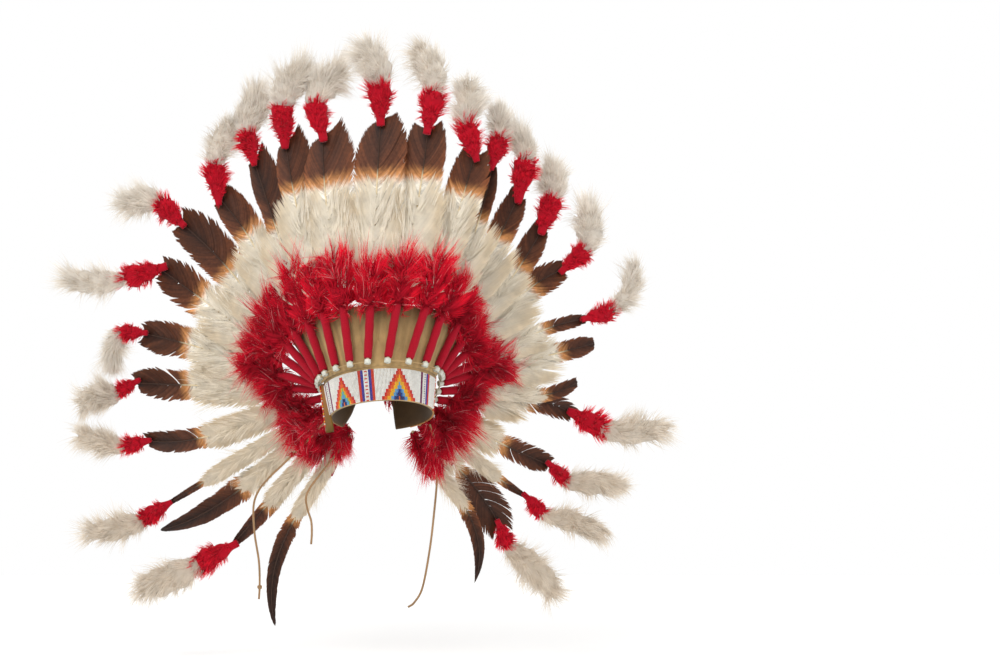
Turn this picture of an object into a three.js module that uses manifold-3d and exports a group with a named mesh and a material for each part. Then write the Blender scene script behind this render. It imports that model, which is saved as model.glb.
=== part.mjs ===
// A flaring feathered headdress: a buckskin skullcap with a beaded browband and, round it,
// a ring of long feathers on wool-bound quills, with base plumes and tip plumes.
// Millimetres. +X is the wearer's left as seen from the front, -Y is the front, +Z is up.
// The origin is the middle of the brow ring, where a head carries the cap.
import * as THREE from "three";
import { mergeVertices } from "three/addons/utils/BufferGeometryUtils.js";
import Module from "manifold-3d";

const wasm = await Module();
wasm.setup();

const headdress = new THREE.Group();

// ---- driving dimensions ----
const gap = 0.3; // between pieces that touch
const capHalfWidth = 76; // outside of the cap on the brow ring
const capHalfDepth = 90;
const capCrown = 97; // height of the crown above the brow ring
const capWall = 2.2; // buckskin, doubled at the edges
const rimFront = -50; // lower edge of the cap at the brow
const rimBack = -57; // lower edge at the back corners
const skirtTaper = 1 / 560; // the skirt's narrowing for each millimetre below the brow ring
const splitFrom = 165; // the split at the back, as angles round the cap from the front
const splitTo = 218;
const splitTop = 10; // top of the split above the brow ring
const tiltBack = 16; // the cap is carried with its front raised
const rollSide = 4; // and its left side a little higher

const bandTop = -8.5; // browband, measured from the brow ring along the cap
const bandBottom = -49.5;
const bandWall = 2.2;
const bandFrom = -78; // ends of the band, as angles round the cap
const bandTo = 77;

const quillRing = 7.5; // the bound quills stand this far outside the cap
const footBead = { radius: 4.9, height: 7 };
const quillWrap = { radius: 5.3, length: 76 };
const thongRadius = 1.5;
const shingle = 10; // degrees that each vane turns on its shaft, so that neighbours pass
const vaneCentre = 1.3; // half the thickness of a vane at its shaft
const tipAhead = 8; // a tip plume is tied this far in front of the shaft end
const cupping = 0.1; // drop of the vane's edges, as a share of its half width

const leanAtTop = 20; // degrees that the feathers lean back out of the front view
const leanAtSides = 16; // more lean for the feathers that point sideways

// ---- the long feathers, clockwise from the inner one at the bottom left ----
// ring: angle of the foot round the cap. bearing: where the feather points in the front view,
// clockwise from straight up. length: foot to shaft end. bow: sideways bend. width: of the vane.
// lobes: how far the vane's two points stand beyond the shaft end, left and right.
const featherColumns = ["ring", "bearing", "length", "bow", "width", "leftLobe", "rightLobe"];
const featherRows = [
  [-141, -157, 320, 24, 28, 6, 14],
  [-134, -138, 275, 0, 50, 12, 4],
  [-126, -124, 362, -14, 36, 8, 4],
  [-118, -121, 335, 0, 18, 6, 3],
  [-110, -104, 337, -14, 32, 6, 10],
  [-102, -89, 343, 0, 44, 5, 12],
  [-94, -75, 331, 4, 46, 14, 10],
  [-86, -56, 326, 0, 54, 8, 12],
  [-78, -43, 334, 8, 62, 10, 16],
  [-70, -31, 314, 10, 50, 6, 26],
  [-57, -20, 334, 0, 50, 5, 24],
  [-40, -14, 339, -4, 54, 4, 26],
  [-24, -8, 333, -6, 64, 2, 28],
  [-7, 2, 349, 0, 66, 0, 12],
  [11, 9, 339, 4, 58, 12, 14],
  [31, 17, 313, 3, 50, 16, 14],
  [50, 18, 308, 7, 24, 4, 3],
  [69, 25, 282, 0, 36, 22, 6],
  [80, 35, 266, 5, 33, 22, 4],
  [88, 49, 254, -12, 40, 10, 4],
  [96, 68, 259, -8, 20, 4, 3],
  [104, 76, 270, 0, 28, 6, 2],
  [112, 87, 239, 16, 20, 5, 3],
  [120, 97, 237, -14, 34, 18, 5],
  [128, 117, 221, 2, 32, 8, 3],
  [136, 130, 211, 4, 18, 4, 4],
  [144, 143, 203, -6, 50, 20, 18],
  [152, 156, 240, -22, 28, 10, 14],
];

// ---- the plumes tied at the feather tips, by feather number ----
// A bearing is clockwise from straight up in the front view, and the plume turns from the red
// one to the white one to the curled end.
const tipColumns = ["feather", "redBearing", "red", "whiteBearing", "white", "width", "curl"];
const tipRows = [
  [2, -118, 60, -117, 95, 58, 10],
  [4, -121, 42, -108, 86, 46, 14],
  [5, -103, 36, -81, 82, 40, 10],
  [6, -119, 31, -100, 58, 52, -20],
  [7, -92, 35, -160, 60, 38, -10],
  [8, -106, 58, -95, 88, 44, 16],
  [9, -50, 48, -85, 64, 50, -20],
  [10, -5, 48, 4, 46, 42, -20],
  [11, -14, 43, -19, 56, 56, -16],
  [12, -4, 50, -9, 44, 56, -10],
  [13, -13, 50, 5, 58, 58, 14],
  [14, -3, 52, -18, 56, 60, -14],
  [15, 8, 60, -15, 76, 54, -20],
  [16, -15, 48, 9, 60, 48, -14],
  [17, 14, 44, -2, 42, 34, -12],
  [18, 9, 56, -22, 45, 40, -16],
  [19, 17, 52, -3, 50, 46, 10],
  [20, 45, 42, 5, 62, 50, -14],
  [21, 73, 40, 40, 84, 36, -30],
  [24, 117, 50, 93, 92, 50, -8],
  [25, 132, 33, 98, 93, 46, -6],
  [26, 133, 34, 105, 94, 40, 10],
  [27, 155, 36, 134, 112, 52, 8],
];

// ---- colours ----
const colours = {
  buckskin: "#9c8355",
  beadwork: "#dcd8cf",
  wool: "#b3122c",
  redPlume: "#b5122e",
  whitePlume: "#d6ccbd",
  vane: "#5a3a2a",
  tipPlume: "#cfc3b6",
  tie: "#8a6a4a",
};

const rows = (columns, table) =>
  table.map((row) => Object.fromEntries(columns.map((name, i) => [name, row[i]])));
const radians = THREE.MathUtils.degToRad;

// Makes one piece with its own material.
function piece(name, geometry, colour, parent = headdress, roughness = 0.85) {
  const material = new THREE.MeshStandardMaterial({ color: colour, roughness, metalness: 0 });
  const mesh = new THREE.Mesh(geometry, material);
  mesh.name = name;
  parent.add(mesh);
  return mesh;
}

// A closed skin through cross sections with equal numbers of points, with a flat cap at each end.
// The points of a section run anticlockwise as seen from the end of the skin.
function skin(sections) {
  const count = sections[0].length;
  const positions = sections.flat().flatMap((p) => [p.x, p.y, p.z]);
  const index = [];
  for (let s = 0; s < sections.length - 1; s += 1) {
    for (let i = 0; i < count; i += 1) {
      const here = s * count + i;
      const next = s * count + ((i + 1) % count);
      index.push(here, next, next + count, here, next + count, here + count);
    }
  }
  const last = (sections.length - 1) * count;
  for (let i = 1; i < count - 1; i += 1) {
    index.push(0, i + 1, i);
    index.push(last, last + i, last + i + 1);
  }
  const geometry = new THREE.BufferGeometry();
  geometry.setAttribute("position", new THREE.Float32BufferAttribute(positions, 3));
  geometry.setIndex(index);
  return geometry;
}

// A solid for joining and cutting, from a closed geometry.
function solid(geometry) {
  const bare = geometry.clone();
  bare.deleteAttribute("normal");
  bare.deleteAttribute("uv");
  const merged = mergeVertices(bare, 1e-4);
  const vertProperties = new Float32Array(merged.attributes.position.array);
  const triVerts = new Uint32Array(merged.index.array);
  return new wasm.Manifold(new wasm.Mesh({ numProp: 3, vertProperties, triVerts }));
}

// A geometry from a solid.
function shape(body) {
  const mesh = body.getMesh();
  const geometry = new THREE.BufferGeometry();
  geometry.setAttribute("position", new THREE.Float32BufferAttribute(mesh.vertProperties, 3));
  geometry.setIndex(new THREE.Uint32BufferAttribute(mesh.triVerts, 1));
  return geometry;
}

const fuse = (geometries) => shape(geometries.map(solid).reduce((sum, next) => sum.add(next)));

// ---- the cap's own frame: brow ring level, then tilted back and rolled ----
const capFrame = new THREE.Group();
capFrame.rotation.set(radians(-tiltBack), radians(-rollSide), 0, "YXZ");
headdress.add(capFrame);
capFrame.updateMatrixWorld(true);

// A point on the cap: angle round it from the front, height over the brow ring and how far
// outside the wall. The skirt narrows towards the rim.
const narrowing = (height) => (height < 0 ? 1 + height * skirtTaper : 1);

function capPoint(angle, height, outside = 0) {
  const fit = narrowing(height);
  const turn = radians(angle);
  const across = (capHalfWidth * fit + outside) * Math.sin(turn);
  const deep = -(capHalfDepth * fit + outside) * Math.cos(turn);
  return new THREE.Vector3(across, deep, height);
}

const rimHeight = (turn) => rimFront + ((rimBack - rimFront) * (1 - Math.cos(turn))) / 2;

// The skullcap: a lathed wall made oval, its rim lowered towards the back and its back split.
function cap() {
  const crownSteps = 5;
  const skirtSteps = 1;
  const outer = [];
  for (let i = 0; i <= crownSteps; i += 1) {
    const turn = (i / crownSteps) * (Math.PI / 2);
    outer.push([Math.sin(turn) ** 0.86, capCrown * Math.cos(turn) ** 0.92]);
  }
  outer[crownSteps][1] = 0;
  for (let i = 1; i <= skirtSteps; i += 1) outer.push([1, -i / skirtSteps]);
  const inner = outer.map(([radius, height]) => [radius - capWall / capHalfWidth, height]);
  inner.forEach((point) => {
    point[0] = Math.max(point[0], 0);
    if (point[1] > 0) point[1] *= 1 - capWall / capCrown;
  });
  const profile = [...inner, ...outer.reverse()].map(([x, y]) => new THREE.Vector2(x, y));
  const lathe = new THREE.LatheGeometry(profile, 28);
  const points = lathe.attributes.position;
  for (let i = 0; i < points.count; i += 1) {
    const radius = Math.hypot(points.getX(i), points.getZ(i));
    const turn = Math.atan2(points.getX(i), points.getZ(i));
    const level = points.getY(i);
    const height = level < 0 ? -level * rimHeight(turn) : level;
    const across = radius * capHalfWidth * narrowing(height) * Math.sin(turn);
    const deep = -radius * capHalfDepth * narrowing(height) * Math.cos(turn);
    points.setXYZ(i, across, deep, height);
  }
  // The split: a slot from the cap's axis out through the back, with a rounded top.
  const reach = 2 * capHalfDepth;
  const middle = (splitFrom + splitTo) / 2;
  const halfSplit = Math.sin(radians((splitTo - splitFrom) / 2)) * capHalfDepth * 0.78;
  const slot = new THREE.Shape();
  slot.moveTo(-halfSplit, -capHalfDepth);
  slot.lineTo(halfSplit, -capHalfDepth);
  slot.lineTo(halfSplit, splitTop - halfSplit);
  slot.absarc(0, splitTop - halfSplit, halfSplit, 0, Math.PI, false);
  slot.closePath();
  const cutter = new THREE.ExtrudeGeometry(slot, { depth: reach, bevelEnabled: false, curveSegments: 6 });
  cutter.rotateX(Math.PI / 2);
  cutter.rotateZ(radians(middle));
  const wall = solid(lathe).subtract(solid(cutter));
  piece("cap", shape(wall), colours.buckskin, capFrame);
}

// The browband: a strip wrapped round the front of the cap.
function browband() {
  const steps = 30;
  const sections = [];
  for (let i = 0; i <= steps; i += 1) {
    const angle = THREE.MathUtils.lerp(bandFrom, bandTo, i / steps);
    sections.push([
      capPoint(angle, bandBottom, gap),
      capPoint(angle, bandTop, gap),
      capPoint(angle, bandTop, gap + bandWall),
      capPoint(angle, bandBottom, gap + bandWall),
    ]);
  }
  piece("browband", skin(sections), colours.beadwork, capFrame, 0.35);
}

// The line of a feather: a foot on the quill ring, a bearing in the front view, a sideways bow
// and a lean to the back that grows along it.
function featherLine({ ring, bearing, length, bow }) {
  const lowering = Math.max(0, Math.abs(ring) - 100);
  const foot = capPoint(ring, -lowering, quillRing).applyMatrix4(capFrame.matrixWorld);
  const turn = radians(bearing);
  const out = new THREE.Vector3(Math.sin(turn), 0, Math.cos(turn));
  const side = new THREE.Vector3(Math.cos(turn), 0, -Math.sin(turn));
  const back = new THREE.Vector3(0, 1, 0);
  const lean = radians(leanAtTop + leanAtSides * Math.sin(turn) ** 2);
  const reach = length * Math.cos(lean);
  const depth = length * Math.sin(lean);
  // The place and directions at a distance along the shaft.
  return (along) => {
    const t = along / length;
    const point = foot.clone();
    point.addScaledVector(out, reach * t);
    point.addScaledVector(side, bow * 6.75 * t * t * (1 - t));
    point.addScaledVector(back, depth * (0.8 * t + 0.2 * t * t));
    const forward = new THREE.Vector3();
    forward.addScaledVector(out, reach);
    forward.addScaledVector(side, bow * 6.75 * t * (2 - 3 * t));
    forward.addScaledVector(back, depth * (0.8 + 0.4 * t));
    forward.normalize();
    const front = side.clone().cross(forward).normalize();
    const across = forward.clone().cross(front).normalize();
    return { point, forward, front, across };
  };
}

const offset = (place, right, ahead, further = 0) =>
  place.point
    .clone()
    .addScaledVector(place.across, right)
    .addScaledVector(place.front, ahead)
    .addScaledVector(place.forward, further);

// The vane's half widths along it, as shares of the full half width.
const vaneProfile = [
  { at: 0, share: 0.1 },
  { at: 0.1, share: 0.42 },
  { at: 0.28, share: 0.8 },
  { at: 0.52, share: 1 },
  { at: 0.76, share: 0.98 },
  { at: 0.9, share: 0.78 },
  { at: 0.97, share: 0.55 },
];

// A long feather from the end of its bound quill to its shaft end, with the vane's two points.
function feather(name, row, line) {
  const start = quillWrap.length + footBead.height + 2;
  const half = row.width / 2;
  const turn = radians(shingle);
  const section = (along, left, right, leftAhead = 0, rightAhead = 0, thin = 1) => {
    const place = line(along);
    const rolled = (share, further) => {
      const w = share * half;
      const ahead = w * Math.sin(turn) - Math.abs(w) * cupping;
      return offset(place, w * Math.cos(turn), ahead, further);
    };
    return [
      rolled(-left, leftAhead),
      offset(place, 0, vaneCentre * thin),
      rolled(right, rightAhead),
      offset(place, 0, -vaneCentre * thin),
    ];
  };
  const sections = vaneProfile.map(({ at, share }) =>
    section(THREE.MathUtils.lerp(start, row.length, at), share, share),
  );
  sections.push(section(row.length, 0.4, 0.4, row.leftLobe, row.rightLobe, 0.6));
  piece(name, skin(sections), colours.vane);
}

// A lock of barbs: a soft leaf with a flattened section along a curve, with pointed ends.
// stations hold the place, its half width and its half thickness.
function lock(stations, sides) {
  return skin(
    stations.map(({ place, width, thick }) => {
      const ring = [];
      for (let i = 0; i < sides; i += 1) {
        const turn = (-2 * Math.PI * (i + 0.5)) / sides;
        ring.push(offset(place, width * Math.cos(turn), thick * Math.sin(turn)));
      }
      return ring;
    }),
  );
}

// The cross columns of one base plume: its place between its neighbours, its share of the reach
// and its share of the thickness. The first is the valley that it shares with the plume before.
const plumeColumns = [
  { aside: -0.5, reach: 0.8, thick: 0.3 },
  { aside: -0.2, reach: 1, thick: 0.9 },
  { aside: 0.2, reach: 0.98, thick: 1 },
];

// Base plumes: a ring of soft lobes in front of the feathers, one to a feather, grown together
// from one thickness of down. Each lobe lies along its feather and halfway to its neighbours.
function basePlumes(name, lines, size, colour) {
  const sections = [];
  const between = (i, aside, along) => {
    const place = lines[i](along);
    const other = lines[THREE.MathUtils.clamp(i + Math.sign(aside), 0, lines.length - 1)](along);
    place.point.lerp(other.point, Math.abs(aside));
    place.front.lerp(other.front, Math.abs(aside)).normalize();
    return place;
  };
  const column = (i, { aside, reach, thick }) => {
    const full = size.reach(i);
    const front = [];
    const back = [];
    size.rows.forEach(({ at, thick: share }) => {
      const along = THREE.MathUtils.lerp(size.start, full * reach, at);
      const place = between(i, aside, along);
      const ahead = size.ahead + size.lift * at ** 0.6;
      const half = (size.thick / 2) * share * thick;
      front.push(offset(place, 0, ahead + half));
      back.push(offset(place, 0, ahead - half));
    });
    sections.push([...back, ...front.reverse()]);
  };
  lines.forEach((line, i) => plumeColumns.forEach((shares) => column(i, shares)));
  column(lines.length - 1, { aside: 0.5, reach: 0.8, thick: 0.3 });
  piece(name, skin(sections), colour);
}

// A straight round rod between two points, run a little past both.
function rod(from, to, radius, sides) {
  const span = to.clone().sub(from);
  const length = span.length() + radius;
  const geometry = new THREE.CylinderGeometry(radius, radius, length, sides);
  const upright = new THREE.Vector3(0, 1, 0);
  geometry.applyQuaternion(new THREE.Quaternion().setFromUnitVectors(upright, span.normalize()));
  const middle = from.clone().add(to).multiplyScalar(0.5);
  return geometry.translate(middle.x, middle.y, middle.z);
}

// The bound quills of one side, each a foot bead and a wool wrap, strung on the lacing thong.
function quillWraps(name, lines) {
  const { radius, height } = footBead;
  const bound = quillWrap.radius;
  const profile = [
    [0, -height / 2],
    [radius, -height / 2],
    [radius, height / 2],
    [bound, height / 2 + 1],
    [bound, height / 2 + quillWrap.length],
    [0, height / 2 + quillWrap.length],
  ].map(([x, y]) => new THREE.Vector2(x, y));
  const parts = lines.map((line) => {
    const { point, forward } = line(0);
    const quill = new THREE.LatheGeometry(profile, 6);
    const upright = new THREE.Vector3(0, 1, 0);
    quill.applyQuaternion(new THREE.Quaternion().setFromUnitVectors(upright, forward));
    return quill.translate(point.x, point.y, point.z);
  });
  for (let i = 0; i < lines.length - 1; i += 1) {
    parts.push(rod(lines[i](0).point, lines[i + 1](0).point, thongRadius, 4));
  }
  piece(name, fuse(parts), colours.wool);
}

// A tip plume: a red fluff and a white plume in one bent lock, with a loose lock on each side.
function tipPlume(name, row, line, length) {
  const heading = (bearing, lean) => {
    const turn = radians(bearing);
    const rise = radians(lean);
    return new THREE.Vector3(
      Math.sin(turn) * Math.cos(rise),
      Math.sin(rise),
      Math.cos(turn) * Math.cos(rise),
    );
  };
  const lean = row.feather % 2 ? 24 : 8;
  const tip = line(length);
  const start = offset(tip, 0, tipAhead);
  const redEnd = start.clone().addScaledVector(heading(row.redBearing, lean), row.red);
  const whiteMid = redEnd.clone().addScaledVector(heading(row.whiteBearing, lean), row.white / 2);
  const curled = heading(row.whiteBearing + row.curl, lean);
  const whiteEnd = whiteMid.clone().addScaledVector(curled, row.white / 2);
  const curve = new THREE.CatmullRomCurve3([start, redEnd, whiteMid, whiteEnd]);
  const redShare = row.red / (row.red + row.white);
  const place = (t, aside = 0) => {
    const point = curve.getPointAt(t);
    const forward = curve.getTangentAt(t);
    const across = forward.clone().cross(new THREE.Vector3(0, -1, 0)).normalize();
    const front = across.clone().cross(forward).normalize();
    point.addScaledVector(across, aside);
    return { point, forward, front, across };
  };
  const red = 0.5 * Math.min(36, row.red * 0.75);
  const white = row.width / 2;
  const body = [
    { t: 0, width: 2.5 },
    { t: redShare * 0.35, width: red * 0.9 },
    { t: redShare * 0.8, width: red },
    { t: redShare, width: red * 0.65 },
    { t: redShare + (1 - redShare) * 0.5, width: white * 0.65 },
    { t: 1, width: white * 0.12 },
  ].map(({ t, width }) => ({ place: place(t), width, thick: width * 0.6 }));
  const parts = [lock(body, 5)];
  [-1, 1].forEach((hand) => {
    const stations = [
      { t: redShare, aside: 0.1, width: 0.3 },
      { t: redShare + (1 - redShare) * 0.42, aside: 0.62, width: 0.42 },
      { t: redShare + (1 - redShare) * 0.84, aside: 0.8, width: 0.1 },
    ].map(({ t, aside, width }) => ({
      place: place(t, hand * aside * white),
      width: width * white,
      thick: width * white * 0.6,
    }));
    parts.push(lock(stations, 4));
  });
  piece(name, fuse(parts), colours.tipPlume);
}

// ---- the leather ties that hang from the cap's rim, as points across, back and up ----
const tieRadius = 1.5;
const tieStep = 9;
const tieRoutes = {
  tie_left_long: [
    [-69, -24, -54],
    [-84, -6, -66],
    [-99, 20, -82],
    [-115, 34, -97],
    [-135, 46, -116],
    [-155, 57, -135],
    [-170, 68, -153],
    [-178, 76, -175],
    [-177, 79, -212],
    [-171, 80, -252],
    [-170, 80, -284],
    [-171, 80, -304],
  ],
  tie_left_short: [
    [-43, 36, -76],
    [-54, 40, -92],
    [-70, 44, -112],
    [-86, 48, -132],
    [-98, 51, -148],
    [-104, 53, -162],
    [-102, 54, -178],
    [-97, 54, -194],
    [-96, 54, -210],
    [-97, 54, -226],
  ],
  tie_right_long: [
    [67, 6, -60],
    [72, 8, -78],
    [75, 14, -100],
    [76, 19, -120],
    [76, 22, -141],
    [73, 23, -175],
    [67, 23, -227],
    [57, 23, -281],
    [46, 23, -302],
    [37, 23, -309],
  ],
};
const knot = { tie: "tie_left_long", at: 0.94, radius: 3.2 };

// A leather tie: a slim round lace along its route, one of them with a knot near its end.
function tie(name, route) {
  const curve = new THREE.CatmullRomCurve3(route.map((point) => new THREE.Vector3(...point)));
  const round = new THREE.Shape().absarc(0, 0, tieRadius, 0, 2 * Math.PI, false);
  const steps = Math.round(curve.getLength() / tieStep);
  const lace = new THREE.ExtrudeGeometry(round, { steps, curveSegments: 4, extrudePath: curve });
  if (name !== knot.tie) return piece(name, lace, colours.tie);
  const place = curve.getPointAt(knot.at);
  const lump = new THREE.SphereGeometry(knot.radius, 6, 4).translate(place.x, place.y, place.z);
  return piece(name, fuse([lace, lump]), colours.tie);
}

// ---- build ----
const feathers = rows(featherColumns, featherRows);
const lines = feathers.map(featherLine);
const label = (prefix, number) => `${prefix}_${String(number).padStart(2, "0")}`;
const isLeft = (row) => row.ring < 0;

cap();
browband();
quillWraps("quill_wraps_left", lines.filter((line, i) => isLeft(feathers[i])));
quillWraps("quill_wraps_right", lines.filter((line, i) => !isLeft(feathers[i])));
feathers.forEach((row, i) => feather(label("feather", i + 1), row, lines[i]));
rows(tipColumns, tipRows).forEach((row) => {
  const i = row.feather - 1;
  tipPlume(label("tip_plume", row.feather), row, lines[i], feathers[i].length);
});

const wrapEnd = quillWrap.length + footBead.height / 2;
basePlumes(
  "white_base_plumes",
  lines,
  {
    start: wrapEnd + 26,
    reach: (i) => feathers[i].length * 0.7,
    rows: [
      { at: 0, thick: 0.4 },
      { at: 0.3, thick: 1 },
      { at: 0.7, thick: 0.9 },
      { at: 1, thick: 0.2 },
    ],
    thick: 11,
    ahead: 19,
    lift: 3,
  },
  colours.whitePlume,
);
basePlumes(
  "red_base_plumes",
  lines,
  {
    start: wrapEnd - 8,
    reach: () => 155,
    rows: [
      { at: 0, thick: 0.3 },
      { at: 0.4, thick: 0.8 },
      { at: 0.75, thick: 1 },
      { at: 1, thick: 0.3 },
    ],
    thick: 17,
    ahead: 14,
    lift: 31,
  },
  colours.redPlume,
);

Object.entries(tieRoutes).forEach(([name, route]) => tie(name, route));

export default headdress;
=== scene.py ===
import bpy
import numpy as np
from numpy import cos, pi, radians, sin
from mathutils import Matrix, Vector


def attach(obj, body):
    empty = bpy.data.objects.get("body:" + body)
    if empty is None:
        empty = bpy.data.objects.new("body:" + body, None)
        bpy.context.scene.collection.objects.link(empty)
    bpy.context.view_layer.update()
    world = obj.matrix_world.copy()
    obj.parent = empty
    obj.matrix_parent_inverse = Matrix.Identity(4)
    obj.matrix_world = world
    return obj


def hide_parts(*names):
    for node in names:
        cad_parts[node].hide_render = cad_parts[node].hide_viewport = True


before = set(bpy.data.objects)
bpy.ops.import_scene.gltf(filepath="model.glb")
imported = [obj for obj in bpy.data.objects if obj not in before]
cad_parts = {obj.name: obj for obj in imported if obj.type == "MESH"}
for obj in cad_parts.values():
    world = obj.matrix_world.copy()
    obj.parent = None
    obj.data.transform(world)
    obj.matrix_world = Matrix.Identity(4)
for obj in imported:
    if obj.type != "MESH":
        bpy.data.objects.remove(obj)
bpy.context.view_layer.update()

mm = 0.001
print("frame loaded:", len(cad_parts), "nodes")

# camera, floor and light
studio = {
    "camera": (0.162, -3.5, 0.063),
    "lens": 93.3,
    "floor": -0.405,
    "floorSize": 3.0,
    "floorColour": (0.93, 0.93, 0.925),
    "aim": (-0.03, 0.05, 0.05),
    "lights": {  # place, size, watts, colour
        "keyLight": ((-1.3, -2.4, 2.2), 1.4, 42.0, (1, 0.98, 0.95)),
        "fillLight": ((2.2, -2.0, 0.9), 2.0, 12.0, (1, 1, 1)),
        "backLight": ((0.4, 2.6, 1.8), 2.0, 12.0, (1, 1, 1)),
    },
}


scene = bpy.context.scene


def placed(name, data):
    item = bpy.data.objects.new(name, data)
    scene.collection.objects.link(item)
    return item


cameraData = bpy.data.cameras.new("camera")
cameraData.lens = studio["lens"]
camera = placed("camera", cameraData)
camera.location = studio["camera"]
camera.rotation_euler = (radians(90), 0, 0)
scene.camera = camera
scene.view_settings.view_transform = "Standard"

for name, (place, size, watts, colour) in studio["lights"].items():
    data = bpy.data.lights.new(name, "AREA")
    data.shape = "DISK"
    data.size = size
    data.energy = watts
    data.color = colour
    light = placed(name, data)
    light.location = place
    aim = Vector(studio["aim"]) - Vector(place)
    light.rotation_euler = aim.to_track_quat("-Z", "Y").to_euler()

world = bpy.data.worlds.new("studioSky")
world.use_nodes = True
world.node_tree.nodes["Background"].inputs["Color"].default_value = (1, 1, 1, 1)
scene.world = world


# colours and vectors
def linear(red, green, blue):
    share = np.array([red, green, blue]) / 255
    return np.where(share > 0.04045, ((share + 0.055) / 1.055) ** 2.4, share / 12.92)


def unit(v):
    return v / np.maximum(np.linalg.norm(v, axis=-1, keepdims=True), 1e-12)


def smooth(x):
    x = np.clip(x, 0, 1)
    return x * x * (3 - 2 * x)


def mix(a, b, share):
    return a * (1 - share) + b * share


# A mesh object from parts: points, triangles, and a tint for each point or for all.
def makePiece(name, parts, material, nodes=()):
    sizes = [p[0].size // 3 for p in parts]
    starts = np.cumsum([0] + sizes[:-1])
    points = np.concatenate([p[0].reshape(-1, 3) for p in parts]).astype(np.float32)
    triangles = np.concatenate([p[1] + start for p, start in zip(parts, starts)]).astype(np.int32)
    tint = np.ones((len(points), 4), np.float32)
    tint[:, :3] = np.concatenate(
        [np.broadcast_to(p[2].reshape(-1, 3), (size, 3)) for p, size in zip(parts, sizes)]
    )
    mesh = bpy.data.meshes.new(name)
    mesh.vertices.add(len(points))
    mesh.vertices.foreach_set("co", points.ravel())
    mesh.loops.add(triangles.size)
    mesh.loops.foreach_set("vertex_index", triangles.ravel())
    mesh.polygons.add(len(triangles))
    mesh.polygons.foreach_set("loop_start", np.arange(0, triangles.size, 3, dtype=np.int32))
    mesh.polygons.foreach_set("use_smooth", np.ones(len(triangles), bool))
    mesh.update(calc_edges=True)
    mesh.attributes.new("tint", "FLOAT_COLOR", "POINT").data.foreach_set("color", tint.ravel())
    mesh.materials.append(material)
    piece = placed(name, mesh)
    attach(piece, "root")
    if nodes:
        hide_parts(*nodes)
    return piece


# Triangles of a grid of rows x columns points, whose last column joins the first.
def gridFaces(rowCount, columnCount):
    row = np.arange(rowCount - 1)[:, None] * columnCount
    column = np.arange(columnCount)
    here, side = row + column, row + (column + 1) % columnCount
    quad = np.stack([here, side, side + columnCount, here, side + columnCount, here + columnCount])
    return quad.reshape(6, -1).T.reshape(-1, 3)


# A closed wall of two sheets of points (row, column), with an end at the first and last row.
def closedWall(front, back):
    rows, columns = front.shape[:2]
    points = np.concatenate([front, back[:, ::-1]], axis=1)
    k = np.arange(columns - 1)
    m = 2 * columns - 1 - k
    first = np.concatenate([np.stack([k, m, k + 1], 1), np.stack([k + 1, m, m - 1], 1)])
    last = first[:, ::-1] + (rows - 1) * 2 * columns
    return points, np.concatenate([gridFaces(rows, 2 * columns), first, last])


# Ribbons along centre lines (strand, station, xyz): the edges stand at -+ half the width along
# across = tangent x facing, and the last station is a single point.
def ribbons(centre, facing, width, taper=1.4):
    count, stations = centre.shape[:2]
    across = unit(np.cross(np.gradient(centre, axis=1), facing))
    t = np.linspace(0, 1, stations)[:, None]
    half = 0.5 * width[:, None, None] * (1 - t**taper)
    edges = np.stack([centre - across * half, centre + across * half], axis=2)[:, :-1]
    points = np.concatenate([edges.reshape(count, -1, 3), centre[:, -1:]], axis=1)
    s = 2 * np.arange(stations - 2)[:, None, None]
    pairs = (s + np.array([[0, 1, 3], [0, 3, 2]])).reshape(-1, 3)
    end = 2 * stations - np.array([[4, 3, 2]])
    faces = np.concatenate([pairs, end]) + (np.arange(count) * points.shape[1])[:, None, None]
    return points, faces.reshape(-1, 3)


# Values at stations given to a ribbon's points: two for each station, one for the last.
def atEdges(x):
    return np.concatenate([np.repeat(x[..., :-1], 2, axis=-1), x[..., -1:]], axis=-1)


# A tube: ring(s, a) = path(s) + radius(s) (cos a side + sin a front), with closed ends.
def tube(path, radius, sides, facing=(0, -1, 0), flat=1.0):
    tangent = unit(np.gradient(path, axis=0))
    side = unit(np.cross(tangent, np.asarray(facing, float)))
    front = np.cross(side, tangent)
    a = np.linspace(0, 2 * pi, sides, endpoint=False)[None, :, None]
    r = np.broadcast_to(radius, (len(path),))[:, None, None]
    ring = path[:, None] + r * (cos(a) * side[:, None] + flat * sin(a) * front[:, None])
    points = np.concatenate([ring.reshape(-1, 3), path[:1], path[-1:]])
    i = np.arange(sides)
    j = (i + 1) % sides
    last = (len(path) - 1) * sides
    first = np.stack([np.full(sides, len(points) - 2), j, i], axis=1)
    end = np.stack([np.full(sides, len(points) - 1), last + i, last + j], axis=1)
    return points, np.concatenate([gridFaces(len(path), sides), first, end])


# A smooth line through points: on each span a cubic with tangents (next - previous) / 2.
def smoothLine(points, steps):
    p = np.asarray(points, float)
    tangent = np.gradient(p, axis=0)
    at = np.linspace(0, len(p) - 1, steps)
    i = np.minimum(at.astype(int), len(p) - 2)
    t = (at - i)[:, None]
    return (
        p[i] * (2 * t**3 - 3 * t**2 + 1)
        + tangent[i] * (t**3 - 2 * t**2 + t)
        + p[i + 1] * (3 * t**2 - 2 * t**3)
        + tangent[i + 1] * (t**3 - t**2)
    )


def reachAlong(line):
    return np.r_[0, np.cumsum(np.linalg.norm(np.diff(line, axis=0), axis=1))]


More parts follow.
